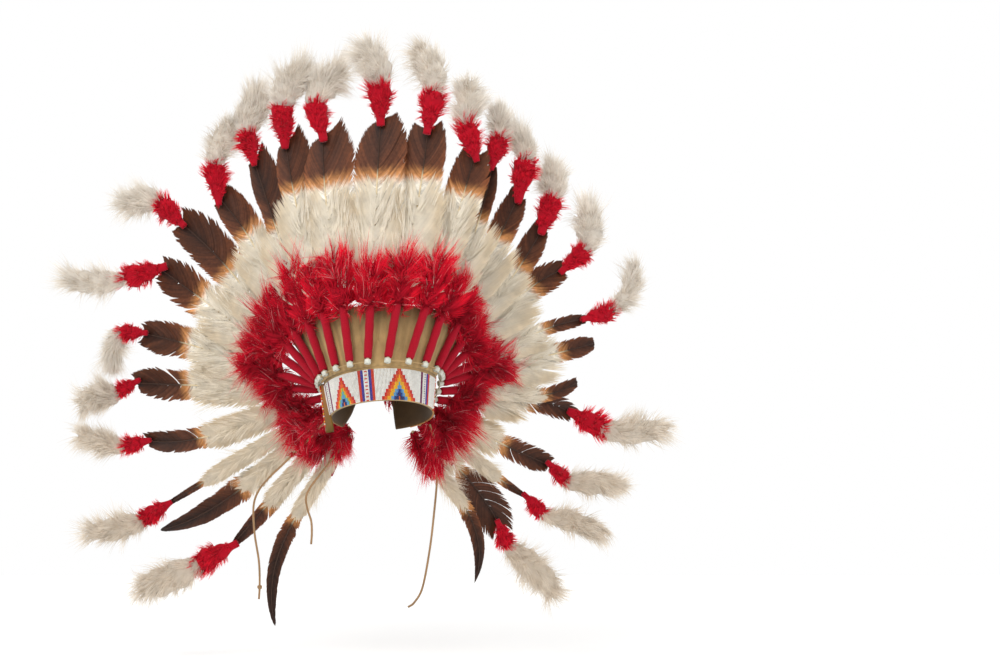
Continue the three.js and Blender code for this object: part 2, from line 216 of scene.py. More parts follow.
# Noise (size, detail) shades the tint attribute, or one colour, between low and high; another
# lifts a bump (size, detail, strength, distance); a share of the light comes through from behind.
def makeMaterial(name, grain, low, high, lift=None, through=None, colour=None, **inputs):
    material = bpy.data.materials.new(name)
    material.use_nodes = True
    tree = material.node_tree
    shader = tree.nodes["Principled BSDF"]
    place = tree.nodes.new("ShaderNodeTexCoord")

    def setValues(node, values):
        for key, value in values.items():
            if hasattr(node, key):
                setattr(node, key, value)
            else:
                node.inputs[key.replace("_", " ")].default_value = value

    def add(kind, source=None, output=None, socket=None, **values):
        node = tree.nodes.new(kind)
        setValues(node, values)
        if source:
            tree.links.new(source.outputs[output], node.inputs[socket])
        return node

    def noise(size, detail):
        return add("ShaderNodeTexNoise", place, "Object", "Vector",
                   Scale=size, Detail=detail, Roughness=0.6)

    shade = add("ShaderNodeMapRange", noise(*grain), "Fac", "Value",
                From_Min=0.3, From_Max=0.7, To_Min=low, To_Max=high)
    base = add("ShaderNodeVectorMath", shade, "Result", "Scale", operation="SCALE")
    if colour is None:
        tint = add("ShaderNodeAttribute", attribute_name="tint")
        tree.links.new(tint.outputs["Color"], base.inputs[0])
    else:
        base.inputs[0].default_value = colour
    tree.links.new(base.outputs["Vector"], shader.inputs["Base Color"])
    if lift:
        size, detail, strength, distance = lift
        bump = add("ShaderNodeBump", noise(size, detail), "Fac", "Height",
                   Strength=strength, Distance=distance)
        tree.links.new(bump.outputs["Normal"], shader.inputs["Normal"])
    if through:
        behind = add("ShaderNodeBsdfTranslucent", base, "Vector", "Color")
        both = add("ShaderNodeMixShader", Fac=through)
        tree.links.new(shader.outputs["BSDF"], both.inputs[1])
        tree.links.new(behind.outputs["BSDF"], both.inputs[2])
        tree.links.new(both.outputs["Shader"], tree.nodes["Material Output"].inputs["Surface"])
    setValues(shader, inputs)
    return material


down = makeMaterial("softDown", (60.0, 3.0), 0.9, 1.08, through=0.45,
                    Roughness=0.9, Specular_IOR_Level=0.15, Sheen_Weight=0.15)
vane = makeMaterial("vaneBarbs", (220.0, 4.0), 0.75, 1.2, Roughness=0.5, Specular_IOR_Level=0.22)
wool = makeMaterial("redWool", (900.0, 4.0), 0.75, 1.15, lift=(900.0, 4.0, 0.5, 0.0008),
                    Roughness=0.9, Specular_IOR_Level=0.15, Sheen_Weight=0.05)
buckskin = makeMaterial("buckskin", (28.0, 5.0), 0.7, 1.15, lift=(700.0, 4.0, 0.4, 0.0006),
                        Roughness=0.85, Specular_IOR_Level=0.2, Sheen_Weight=0.15)
glass = makeMaterial("glassBeads", (90.0, 3.0), 0.9, 1.05, Roughness=0.25,
                     Specular_IOR_Level=0.5, Coat_Weight=0.3, Coat_Roughness=0.1)
paper = makeMaterial("floorPaper", (3.0, 3.0), 0.99, 1.0, colour=studio["floorColour"],
                     Roughness=0.9)

half = studio["floorSize"] / 2
corners = ((-half, -half), (half, -half), (half, half), (-half, half))
floorMesh = bpy.data.meshes.new("floor")
floorMesh.from_pydata([(x, y, studio["floor"]) for x, y in corners], [], [(0, 1, 2, 3)])
floorMesh.materials.append(paper)
floor = placed("floor", floorMesh)

# leather ties: routes in millimetres, lengths in metres; each hangs from the cap's rim
ties = {
    "radius": 1.5 * mm,
    "stations": 90,
    "wear": 0.06,
    "colour": linear(150, 118, 84),
    "routes": {
        "tie_left_long": [
            (-69, -24, -54), (-84, -6, -66), (-99, 20, -82), (-115, 34, -97), (-135, 46, -116),
            (-155, 57, -135), (-170, 68, -153), (-178, 76, -175), (-177, 79, -212),
            (-171, 80, -252), (-170, 80, -284), (-171, 80, -304)],
        "tie_left_short": [
            (-43, 36, -76), (-54, 40, -92), (-70, 44, -112), (-86, 48, -132), (-98, 51, -148),
            (-104, 53, -162), (-102, 54, -178), (-97, 54, -194), (-96, 54, -210), (-97, 54, -226)],
        "tie_right_long": [
            (67, 6, -60), (72, 8, -78), (75, 14, -100), (76, 19, -120), (76, 22, -141),
            (73, 23, -175), (67, 23, -227), (57, 23, -281), (46, 23, -302), (37, 23, -309)],
    },
    "lengths": {"tie_left_long": 0.327, "tie_left_short": 0.1725, "tie_right_long": 0.2606},
    "knot": {"tie": "tie_left_long", "at": 0.94, "size": 3.2 * mm},
}
for name, route in ties["routes"].items():
    line = smoothLine(np.array(route) * mm, ties["stations"])
    reach = reachAlong(line)
    print(name, "length", round(float(reach[-1]), 4))
    radius = ties["radius"] * (1 - ties["wear"] * sin(reach * 410) ** 2)
    part = (*tube(line, radius, 10), ties["colour"])
    lace = makePiece(name + "_lace", [part], buckskin, [name])
    extra = []
    if name == ties["knot"]["tie"]:
        # the knot: turns of lace round the tie, twice as quick along it as round it
        at = int(np.searchsorted(reach, ties["knot"]["at"] * reach[-1]))
        a = np.linspace(0, 2 * pi, 60)
        shape = np.stack([0.62 * cos(a), 0.62 * sin(a), 0.45 * sin(a * 2)], axis=1)
        turns = line[at] + shape * ties["knot"]["size"]
        part = (*tube(turns, ties["radius"] * 0.95, 8, facing=(0, 0, 1)), ties["colour"])
        extra = [makePiece(name + "_knot", [part], buckskin)]
print("ties hang")

# the cap's own frame: brow ring level, tilted back and rolled
cap = {
    "halfWidth": 76 * mm,
    "halfDepth": 90 * mm,
    "crown": 97 * mm,
    "wall": 2.2 * mm,
    "rim": -50 * mm,
    "skirtTaper": 560 * mm,
    "tilt": radians(-16),
    "roll": radians(-4),
    "outside": linear(168, 139, 94),
    "inside": linear(92, 70, 44),
    "binding": linear(190, 126, 52),
    "strip": (linear(158, 98, 42), linear(98, 76, 24)),
    "backing": linear(190, 160, 110),
}


def inCapFrame(p):
    c, s = cos(cap["tilt"]), sin(cap["tilt"])
    p = p @ np.array([[1, 0, 0], [0, c, s], [0, -s, c]])
    c, s = cos(cap["roll"]), sin(cap["roll"])
    return p @ np.array([[c, 0, -s], [0, 1, 0], [s, 0, c]])


def skirtFit(height):
    return np.where(height < 0, 1 + height / cap["skirtTaper"], 1)


# A point on the cap by angle (degrees), height over the brow ring and distance outside the wall.
def capPoint(angle, height, outside=0.0):
    fit, turn = skirtFit(height), radians(angle)
    x = (cap["halfWidth"] * fit + outside) * sin(turn)
    y = -(cap["halfDepth"] * fit + outside) * cos(turn)
    return inCapFrame(np.stack(np.broadcast_arrays(x, y, height), axis=-1))


# the long feathers, a row for each: ring angle, bearing (degrees), and in millimetres length,
# bow, width, left lobe, right lobe, brown tip
feathers = {
    "barbs": 190,
    "quillRing": 7.5 * mm,
    "vaneStart": 85 * mm,
    "roll": radians(10),
    "sheet": dict(cupping=0.1, ruffle=0.05, taper=7.0, stations=7),
    "angles": ([0, 0.5, 0.7, 0.85, 1], [46, 40, 33, 24, 14]),  # between barbs and shaft
    "splits": ([0.35, 0.55, 0.66, 0.78], [0.5, 0.64, 0.76, 0.86]),  # each from and to
    "splitWidth": 3.4 * mm,
    "toothWidth": 8 * mm,
    "shaft": ([0, 0.25, 0.7, 1], [2.2, 1.7, 1.1, 0.7]),  # its radius
    "rows": np.array([
        (-141, -157, 320, 24, 28, 6, 14, 145), (-134, -138, 275, 0, 50, 12, 4, 80),
        (-126, -124, 362, -14, 36, 8, 4, 135), (-118, -121, 335, 0, 18, 6, 3, 65),
        (-110, -104, 337, -14, 32, 6, 10, 85), (-102, -89, 343, 0, 44, 5, 12, 80),
        (-94, -75, 331, 4, 46, 14, 10, 70), (-86, -56, 326, 0, 54, 8, 12, 72),
        (-78, -43, 334, 8, 62, 10, 16, 100), (-70, -31, 314, 10, 50, 6, 26, 70),
        (-57, -20, 334, 0, 50, 5, 24, 105), (-40, -14, 339, -4, 54, 4, 26, 75),
        (-24, -8, 333, -6, 64, 2, 28, 75), (-7, 2, 349, 0, 66, 0, 12, 80),
        (11, 9, 339, 4, 58, 12, 14, 68), (31, 17, 313, 3, 50, 16, 14, 55),
        (50, 18, 308, 7, 24, 4, 3, 75), (69, 25, 282, 0, 36, 22, 6, 68),
        (80, 35, 266, 5, 33, 22, 4, 66), (88, 49, 254, -12, 40, 10, 4, 50),
        (96, 68, 259, -8, 20, 4, 3, 56), (104, 76, 270, 0, 28, 6, 2, 48),
        (112, 87, 239, 16, 20, 5, 3, 46), (120, 97, 237, -14, 34, 18, 5, 64),
        (128, 117, 221, 2, 32, 8, 3, 72), (136, 130, 211, 4, 18, 4, 4, 42),
        (144, 143, 203, -6, 50, 20, 18, 100), (152, 156, 240, -22, 28, 10, 14, 95),
    ], float),
    "white": linear(226, 219, 205),
    "tan": linear(190, 130, 76),
    "brown": linear(86, 46, 26),
    # rim: a lighter brown put towards the barbs' ends as painted sheen
    "rim": linear(132, 72, 38),
    "dark": linear(42, 22, 13),
    "lowShade": np.array([0.94, 0.905, 0.86]),  # painted shade: how much darker the lowest feathers' white is than the rest's, for the shade they hang in
    "shaftRoot": linear(214, 196, 160),
    "shaftTip": linear(58, 37, 26),
}
ringAngle, bearingAngle = feathers["rows"][:, 0], radians(feathers["rows"][:, 1])
featherLength, featherBow, featherWidth, leftLobe, rightLobe, brownTip = feathers["rows"].T[2:] * mm
featherLean = radians(20 + 16 * sin(bearingAngle) ** 2)
lowering = np.maximum(0, np.abs(ringAngle) - 100) * mm
featherFoot = capPoint(ringAngle, -lowering, feathers["quillRing"])
# where the brown of each vane begins
brownFrom = featherLength + 0.5 * np.maximum(leftLobe, rightLobe) - brownTip / cos(featherLean)


# painted shade: the lowest feathers' white made darker and warmer, for the shade they hang in
def lowShade(i):
    return feathers["lowShade"] ** np.interp(i, [0, 4, 6, 21, 24, 27], [1, 1, 0, 0, 1, 1.2])


# Place and directions on feather i at a distance along it: foot + out reach t
# + side bow 6.75 t^2 (1 - t) + back depth (0.8 t + 0.2 t^2). i is one number or an array.
def shaftPlace(i, along):
    turn, lean = bearingAngle[i][..., None], featherLean[i][..., None]
    length, bow = featherLength[i][..., None], featherBow[i][..., None]
    t = np.asarray(along)[..., None] / length
    out = np.concatenate([sin(turn), 0 * turn, cos(turn)], axis=-1)
    side = np.concatenate([cos(turn), 0 * turn, -sin(turn)], axis=-1)
    back = np.array([0.0, 1.0, 0.0])
    reach, depth = length * cos(lean), length * sin(lean)
    point = featherFoot[i] + out * reach * t + side * bow * 6.75 * t * t * (1 - t)
    point = point + back * depth * (0.8 * t + 0.2 * t * t)
    forward = out * reach + side * bow * 6.75 * t * (2 - 3 * t) + back * depth * (0.8 + 0.4 * t)
    forward = unit(forward)
    front = unit(np.cross(side, forward))
    return point, forward, front, unit(np.cross(forward, front))


# The same between feathers and ahead of them: f is a feather number with a fraction.
def betweenPlace(f, along, ahead):
    low = np.clip(np.floor(f).astype(int), 0, len(ringAngle) - 2)
    share = (np.clip(f, -0.6, len(ringAngle) - 0.4) - low)[..., None]
    a, b = shaftPlace(low, along), shaftPlace(low + 1, along)
    point, forward, front = (mix(a[k], b[k], share) for k in range(3))
    forward, front = unit(forward), unit(front)
    return point + front * ahead[..., None], forward, front, unit(np.cross(forward, front))


# Half the space from feather i to the next one on that side; `edge` where there is no other.
def spaceBeside(i, hand, along, edge):
    other = int(np.clip(i + hand, 0, len(ringAngle) - 1))
    if other == i:
        return np.full(len(along), edge)
    return np.linalg.norm(shaftPlace(i, along)[0] - shaftPlace(other, along)[0], axis=1) / 2


# One side of a sheet of barbs on feather i. A barb ends at station e and distance w from the
# shaft and starts at e - w / tan(angle); its line is shaft(start + (e - start) u^1.3)
# + across w u, raised by ahead + w u (hand sin(roll) - cupping) + lift u, u from 0 to 1; part
# moves the end alone, which opens a wedge between barbs.
def barbs(rng, i, hand, end, w, angle, ahead, start, lift, width, cupping, ruffle, taper,
          stations=4, part=0):
    root = np.clip(end - w / np.tan(angle), start, featherLength[i] - 1 * mm)
    u = np.linspace(0, 1, stations)
    station = root[:, None] + (end + part - root)[:, None] * u**1.3
    point, forward, front, across = shaftPlace(i, station)
    out = w[:, None] * u
    sine, cosine = sin(feathers["roll"]), cos(feathers["roll"])
    lift = ahead[:, None] + out * (hand * sine - cupping) + lift[:, None] * u
    centre = point + across * (out * hand * cosine)[..., None] + front * lift[..., None]
    facing = unit(front - across * sine + forward * 0.1)
    facing = facing + rng.normal(0, ruffle, (len(end), 1, 3))
    points, faces = ribbons(centre, facing, width, taper)
    return points, faces, atEdges(station), atEdges(out)


# A long feather's outline runs over v up the edge to the lobe's point and back to the shaft end,
# so the vane ends in two points: w is how far a barb stands out and end where it ends. A few
# splits and many teeth part the barbs, and the lower part is downy.
outline = {
    "at": [0, 0.1, 0.3, 0.5, 0.62, 0.72, 0.8, 0.88, 0.94, 1],
    "wide": [0.1, 0.45, 0.85, 1, 1.04, 1.0, 0.86, 0.62, 0.34, 0.03],
    "pointed": [0, 0.13, 0.4, 0.68, 0.82, 0.9, 0.95, 0.99, 1, 1],
    "round": [0, 0.13, 0.38, 0.62, 0.74, 0.82, 0.88, 0.94, 0.98, 1],
    "slimWide": [0.1, 0.5, 0.9, 1, 0.92, 0.78, 0.62, 0.42, 0.22, 0.03],
    "slim": [0, 0.13, 0.36, 0.55, 0.68, 0.78, 0.86, 0.93, 0.97, 1],
    "lobeAt": [0.5, 0.72, 0.8, 0.88, 0.94, 1],
    "lobe": [0, 0.25, 0.52, 1, 0.4, 0.05],
    "slimLobe": [0, 0.2, 0.4, 0.6, 0.8, 1],
    "slims": (1, 2, 3, 4, 26, 28),
    "ragged": {4: 0.5, 5: 0.9, 6: 0.8, 7: 0.9, 8: 1.0, 9: 0.6, 20: 0.7, 21: 1.0, 22: 0.6,
               23: 1.0, 24: 0.9, 25: 0.7, 27: 0.6},
    "leftShare": {1: 0.8, 2: 0.62, 3: 1.0, 4: 0.6, 9: 0.9, 10: 0.8, 11: 0.6, 12: 0.7, 13: 0.85,
                  14: 1.05, 26: 0.8, 28: 0.8},
    "rightShare": {1: 0.8, 2: 0.35, 3: 1.0, 4: 0.6, 9: 1.1, 10: 1.2, 11: 1.25, 12: 1.35,
                   13: 1.38, 14: 1.18, 15: 1.05, 16: 1.15, 26: 0.8, 28: 0.8},
}
rng = np.random.default_rng(11)
for number in range(1, 29):
    i, count = number - 1, feathers["barbs"]
    start, length = feathers["vaneStart"], featherLength[i]
    low, slim = start + 8 * mm, number in outline["slims"]
    v = np.linspace(0, 1, count)
    parts = []
    for hand, lobe, shares in ((-1, leftLobe[i], "leftShare"), (1, rightLobe[i], "rightShare")):
        w = outline[shares].get(number, 1.1) * featherWidth[i] / 2
        w = w * np.interp(v, outline["at"], outline["slimWide" if slim else "wide"])
        point = min(lobe / (12 * mm), 1)
        climb = mix(np.array(outline["round"]), np.array(outline["pointed"]), point)
        climb = np.interp(v, outline["at"], outline["slim"] if slim else climb)
        peak = np.interp(v, outline["lobeAt"], outline["slimLobe" if slim else "lobe"])
        end = low + (length - low) * climb + (lobe + 3 * mm) * peak
        splits = np.sort(rng.uniform(*feathers["splits"]))
        group = np.searchsorted(splits, v)
        w = w * rng.uniform(0.94, 1.03, 5)[group] * rng.uniform(0.97, 1.02, count)
        notch = np.exp(-(v - np.r_[0, splits][group]) * 40) * (group > 0)
        parted = notch * rng.uniform(0, feathers["splitWidth"], 5)[group]
        teeth = rng.integers(11, 16)
        tooth = 1 - (v * teeth + 0.3 * hand + 0.25 * sin(v * 9 + number)) % 1
        ragged = outline["ragged"].get(number, 0.3)
        ragged = ragged * smooth((v - 0.42) / 0.15) * smooth((0.97 - v) / 0.1)
        ragged = ragged * rng.uniform(0.4, 1.2, teeth + 2)[(v * teeth).astype(int)]
        gap = np.minimum(np.gradient(end) * count / teeth, feathers["toothWidth"])
        parted = parted + 0.36 * tooth * ragged * gap
        downy = smooth((0.52 - v) / 0.15)
        w = w * (1 - 0.16 * tooth * ragged) * (1 + downy * rng.uniform(-0.16, 0.22, count))
        end = end + (0.3 + 2.2 * downy) * rng.normal(0, 1, count) * mm
        angle = radians(np.interp(v, *feathers["angles"]))
        lift = rng.uniform(-0.9, 0.9, 5)[group] * mm
        parted = parted + rng.normal(0, 0.5, count) * mm
        width = (length - start) / count * rng.uniform(2.4, 3.2, count)
        width = width * (1 + 0.5 * smooth((v - 0.55) / 0.2))
        points, faces, s, out = barbs(rng, i, hand, end, w, angle, 0 * w, start, lift, width,
                                      **feathers["sheet"], part=parted)
        # white, then an orange-tan fringe, then brown that darkens along the middle and the tip;
        # the lighter rim brown towards each barb's end is painted sheen
        past = s - brownFrom[i]
        past = past + (rng.normal(0, 1.3, count) + 1.2 * sin(v * 60 + number))[:, None] * mm
        toTan = smooth((past + 15 * mm) / (13 * mm))[..., None]
        toBrown = smooth((past + 3 * mm) / (17 * mm))[..., None]
        rim = smooth(out / w[:, None].clip(4 * mm) * 2.2 - 1.2)[..., None] * 0.75
        dark = smooth((past - 8 * mm) / (60 * mm)) * 0.6 + 0.4 * smooth(1 - out / (7 * mm))
        tint = mix(feathers["white"] * lowShade(i), feathers["tan"], toTan)
        tint = mix(tint, mix(feathers["brown"], feathers["rim"], rim), toBrown)
        tint = mix(tint, feathers["dark"], dark[..., None] * toBrown)
        streak = 1 + 0.2 * sin(v * 90 + number) * sin(v * 37)
        streak = streak * rng.uniform(0.78, 1.18, count)
        parts.append((points, faces, tint * streak[:, None, None]))
    along = np.linspace(2 * mm, length - 1 * mm, 30)
    point, forward, front, across = shaftPlace(i, along)
    radius = np.interp(along / length, *feathers["shaft"]) * mm
    points, faces = tube(point + front * (radius * 0.5)[:, None], radius, 7)
    past = np.r_[np.repeat(along, 7), along[0], along[-1]] - brownFrom[i]
    share = smooth((past + 8 * mm) / (16 * mm))[:, None]
    parts.append((points, faces, mix(feathers["shaftRoot"], feathers["shaftTip"], share)))
    node = "feather_%02d" % number
    makePiece(node + "_vane", parts, vane, [node])
print("feathers set")


# A smooth wandering field that makes down lie in locks: each part is sin(place . k + phase),
# about 45 mm from crest to crest.
def wander(place, phase):
    k = 2 * pi / (45 * mm) * np.array([[0.9, 0.2, 0.5], [-0.4, 0.6, 0.8], [0.3, -0.9, 0.7]])
    return sin(place @ k.T + phase + 1.7 * sin(place @ k[::-1].T * 0.6))


# Tufts of down: clumps of `many` strands. Each strand is root + heading length t + curl t^2, and
# the strands of a clump draw together towards their mean as t^1.3 times `draw`. The colour goes
# from root to tip as t^fade, the darker roots painted shade deep in the down and the lighter tips
# painted highlight, with a value for each clump and each strand; a few tips are pale.
def tufts(rng, place, splay, around, length, options):
    point, forward, front, across = place
    shape = (len(point), options["many"], 3)
    outward = across * cos(around)[:, None] + front * sin(around)[:, None]
    heading = forward * cos(splay)[:, None] + outward * sin(splay)[:, None]
    heading = heading + wander(point, options["phase"]) * options["wander"]
    root = point[:, None] + rng.normal(0, options["rootJitter"], shape)
    heading = unit(unit(heading)[:, None] + rng.normal(0, options["spread"], shape))
    reach = (length[:, None] * rng.uniform(options["shortest"], 1, shape[:2]))[..., None]
    curl = wander(point + 0.03, options["phase"] + 2.0)[:, None] + rng.normal(0, 0.3, shape)
    curl = curl * options["curl"] * reach
    t = np.linspace(0, 1, 4)[:, None]
    centre = root[:, :, None] + (heading * reach)[:, :, None] * t + curl[:, :, None] * t**2
    centre = mix(centre, centre.mean(axis=1, keepdims=True), options["draw"] * t**1.3)
    facing = front[:, None, None] + rng.normal(0, options.get("turn", 0.3), (*shape[:2], 1, 3))
    facing = (facing + 0 * centre).reshape(-1, 4, 3)
    width = options["width"] * rng.uniform(0.7, 1.3, len(facing))
    points, faces = ribbons(centre.reshape(-1, 4, 3), facing, width)
    low, high = 1 - options["vary"], 1 + options["vary"]
    value = rng.uniform(low, high, (len(point), 1)) * rng.uniform(low, high, shape[:2])
    value = value.reshape(-1, 1, 1)
    tip = options["tip"] * value
    if "pale" in options:
        chosen = rng.uniform(0, 1, shape[:2]).reshape(-1, 1, 1) < options["paleShare"]
        tip = np.where(chosen, options["pale"], tip)
    share = atEdges(t[:, 0])[:, None] ** options["fade"]
    return points, faces, mix(options["root"] * value, tip, share)


# red base plumes: where on each feather they begin and end (mm); bulk is how far they stand out
reds = {
    "first": [4, 5, 6, 12, 26, 42, 58, 66, 68, 68, 68, 70, 70, 68, 68, 68, 64, 60, 52, 46, 40,
              44, 30, 20, 10, 6, 4, 4],
    "reach": [34, 84, 62, 84, 92, 108, 145, 146, 155, 160, 172, 169, 174, 152, 164, 170, 146,
              134, 108, 95, 112, 128, 80, 86, 68, 66, 66, 70],
    "bulk": {2: 1.6, 3: 1.5, 4: 1.2, 25: 1.3, 26: 1.5, 27: 1.6, 28: 1.6},
    "barbs": 110, "widest": 32 * mm, "edge": 6 * mm, "clumps": 170,
    "wide": ([0, 0.2, 0.7, 1], [0.8, 1, 0.85, 0.2]),
    "angles": ([0, 0.5, 1], [46, 36, 20]),
    "sheetAhead": ([0, 0.35, 0.75, 1], [-4, 8, 16, 12]),
    "tuftsAhead": ([0, 0.35, 0.75, 1], [4, 18, 30, 24]),
    "sheet": dict(cupping=0.3, ruffle=0.2, taper=2.0),
    "litTop": 1.22,  # painted light: how much brighter the plumes over the brow are, where the light from above falls
    "tuft": dict(many=7, spread=0.14, rootJitter=1.6 * mm, shortest=0.45, curl=0.45, draw=0.4,
                 width=0.85 * mm, wander=0.45, phase=0.0, vary=0.14, fade=0.6, paleShare=0.07,
                 # root is painted shade deep in the down and tip painted highlight
                 pale=linear(240, 165, 165), root=linear(156, 6, 30), tip=linear(226, 26, 54)),
}

# white base plumes: broad soft sheets of barbs that reach their neighbours', with loose down
whites = {
    "from": 100 * mm, "barbs": 220, "edge": 16 * mm, "overlap": 1.5, "ahead": 13 * mm,
    "widest": 40,  # mm, apart from some feathers
    "narrow": {1: 12, 2: 14, 3: 13, 4: 13, 5: 22, 6: 30, 24: 34, 25: 24, 26: 11, 27: 14, 28: 10},
    "wide": ([0, 0.15, 0.8, 0.93, 1], [0.6, 0.95, 1, 0.88, 0.4]),
    "angles": ([0, 0.6, 1], [34, 28, 20]),
    "clumps": 70, "sheet": dict(cupping=0.24, ruffle=0.03, taper=3.0),
    # rim is painted shade: a darker tan at each sheet's edge, where the sheets meet; tip is the
    # tufts' lighter end
    "middle": linear(238, 231, 216), "rim": linear(222, 206, 178), "tip": linear(242, 236, 224),
    "tuft": dict(many=6, spread=0.1, rootJitter=1.5 * mm, shortest=0.5, curl=0.14, draw=0.2,
                 width=0.6 * mm, wander=0.1, phase=0.0, turn=0.1, vary=0.04, fade=0.7),
}
rng = np.random.default_rng(23)
parts = []
for i in range(28):
    reach = brownFrom[i] - 2 * mm
    begin = min(whites["from"], (reds["reach"][i] - 22) * mm)
    count = whites["barbs"]
    v = np.linspace(0, 1, count)
    widest = whites["narrow"].get(i + 1, whites["widest"]) * mm
    ahead = whites["ahead"] * np.interp(v, [0, 0.6, 1], [1, 0.9, 0.25])
    angle = radians(np.interp(v, *whites["angles"]))
    for hand in (-1, 1):
        end = begin + 10 * mm + (reach - begin - 10 * mm) * v**0.9
        space = spaceBeside(i, hand, end, whites["edge"])
        w = np.minimum(space * whites["overlap"], widest) * rng.uniform(0.76, 1.1, count)
        w = w * np.interp(v, *whites["wide"])
        end = end + rng.normal(0, 2.5, count) * mm + 3 * mm * sin(v * 25 + i) * v
        lift = rng.uniform(-0.5, 0.5, count) * mm
        width = (reach - begin) / count * rng.uniform(4.0, 6.5, count)
        points, faces, s, out = barbs(rng, i, hand, end, w, angle, ahead, begin, lift, width,
                                      **whites["sheet"])
        # painted shade: each sheet darker and tanner towards its edge, where it meets its
        # neighbours
        toEdgeShade = smooth(out / (w[:, None] + 4 * mm) * 1.15 - 0.2)[..., None] * 0.8
        tint = mix(whites["middle"], whites["rim"], toEdgeShade) * lowShade(i)
        parts.append((points, faces, tint * rng.uniform(0.96, 1.03, count)[:, None, None]))
    count = whites["clumps"]
    loose, wide = (0.45, 16) if 5 <= i <= 22 else (0.14, 34)
    f = i + rng.uniform(-loose, loose, count)
    along = begin + (reach - begin - 40 * mm) * rng.uniform(0, 1, count)
    lift = whites["ahead"] + rng.uniform(-3, 3, count) * mm - 8 * mm * np.abs(f - i)
    place = betweenPlace(f, along, lift)
    splay = radians(rng.uniform(2, wide, count))
    around = np.where(f < i, pi, 0) + rng.normal(0, 0.4, count)
    length = rng.uniform(30, 50, count) * mm
    options = dict(whites["tuft"], root=whites["middle"] * lowShade(i),
                   tip=whites["tip"] * lowShade(i))
    parts.append(tufts(rng, place, splay, around, length, options))
makePiece("whiteBaseDown", parts, down, ["white_base_plumes"])
print("white base plumes set")

# curling sheets of red barbs under locks of down; near the foot some fall back over the quill
rng = np.random.default_rng(31)
parts = []
for i in range(28):
    reach, first = reds["reach"][i] * mm, reds["first"][i] * mm
    bulk = reds["bulk"].get(i + 1, 1.0)
    # painted light: the plumes over the brow made brighter, where the light from above falls on
    # them
    litTop = mix(1, reds["litTop"], smooth((6 - abs(i - 13)) / 5))
    count = reds["barbs"]
    v = np.linspace(0, 1, count)
    sheet = min(first + 12 * mm, reach - 20 * mm)
    ahead = np.interp(v, *reds["sheetAhead"]) * mm * bulk
    for hand in (-1, 1):
        end = sheet + 12 * mm + (reach - 10 * mm - sheet - 12 * mm) * v
        space = spaceBeside(i, hand, end, reds["edge"])
        w = np.minimum(space * 1.5 + 2 * mm, reds["widest"]) * rng.uniform(0.75, 1.05, count)
        w = w * np.interp(v, *reds["wide"])
        end = end + rng.normal(0, 5, count) * mm + 5 * mm * sin(v * 14 + i * 2.1 + hand)
        angle = np.interp(v, *reds["angles"]) + rng.normal(0, 7, count)
        angle = radians(np.maximum(angle, 16))
        lift = (3 * sin(v * 11 + i * 1.7) + rng.uniform(-1.5, 1.5, count)) * mm
        width = (reach - first) / count * rng.uniform(2.6, 4.2, count)
        points, faces, s, out = barbs(rng, i, hand, end, w, angle, ahead, sheet, lift, width,
                                      **reds["sheet"])
        # painted light: each barb darker near the shaft, in shade under the down, and brighter
        # towards its end
        litShare = smooth(out / (w[:, None] + 1 * mm) * 1.2)[..., None]
        value = rng.uniform(0.85, 1.08, count) * (1 + 0.12 * sin(v * 17 + i)) * litTop
        tint = mix(reds["tuft"]["root"], reds["tuft"]["tip"], litShare) * value[:, None, None]
        parts.append((points, faces, tint))
    count = reds["clumps"]
    share = rng.uniform(0, 1, count) ** 0.85
    along = first + (reach - 24 * mm - first) * share
    f = np.clip(i + rng.uniform(-0.5, 0.5, count) * (0.5 + 0.5 * share), -0.08, 27.15)
    lift = np.interp(share, *reds["tuftsAhead"]) * bulk
    lift = lift * rng.uniform(0.5, 1.08, count)
    lift = lift + (bulk - 1) * rng.uniform(0, 1, count) * np.interp(share, [0, 0.5, 1], [34, 18, 0])
    place = betweenPlace(f, along, (lift - 10 * np.abs(f - i)) * mm)
    falling = (share < 0.3) & (rng.uniform(0, 1, count) < (0.45 if bulk == 1 else 0.6))
    splay = radians(np.where(falling, rng.uniform(80, 140, count), rng.uniform(4, 42, count)))
    around = np.where(f < i, pi, 0) + rng.normal(0, 0.7, count)
    length = np.where(falling, rng.uniform(12, 27, count), rng.uniform(22, 42, count)) * mm
    options = dict(reds["tuft"], phase=i * 0.35)
    points, faces, tint = tufts(rng, place, splay, around, length, options)
    parts.append((points, faces, tint * litTop))


# Loose locks round given places, falling one way; the strands are those of tufts.
def looseLocks(place, scatter, way):
    count = len(place)
    point = place + rng.normal(0, 1, (count, 3)) * np.array(scatter) * mm
    forward = unit(np.broadcast_to(way, (count, 3)).astype(float))
    front = np.tile(np.array([0.0, -1, 0]), (count, 1))
    splay, around = radians(rng.uniform(0, 45, count)), rng.uniform(0, 2 * pi, count)
    place = (point, forward, front, unit(np.cross(forward, front)))
    length, options = rng.uniform(14, 26, count) * mm, dict(reds["tuft"], paleShare=0.1)
    parts.append(tufts(rng, place, splay, around, length, options))


# one lock by the right edge of the cap's split, the others over the ties' upper ends
looseLocks(np.tile(np.array([11, 88, -22]) * mm, (46, 1)), (4, 3, 7), (-0.1, 0.05, -1))
tieLocks = (("tie_right_long", 3.1, 90), ("tie_left_short", 1.6, 40), ("tie_left_long", 3.2, 90))
for name, spans, count in tieLocks:
    stations = ties["stations"]
    line = smoothLine(np.array(ties["routes"][name]) * mm, stations)
    last = int(stations * spans / (len(ties["routes"][name]) - 1))
    place = line[rng.integers(4, last, count)]
    way = line[last + 8] - place + np.array([0, -12, 0]) * mm
    looseLocks(place + np.array([0, -1.5, 3]) * mm, (4.5, 3, 4), way)
for name, chosen in (("redBaseDown", parts[:42]), ("redBaseDownRight", parts[42:])):
    makePiece(name, chosen, down, ["red_base_plumes"])
print("red base plumes set")

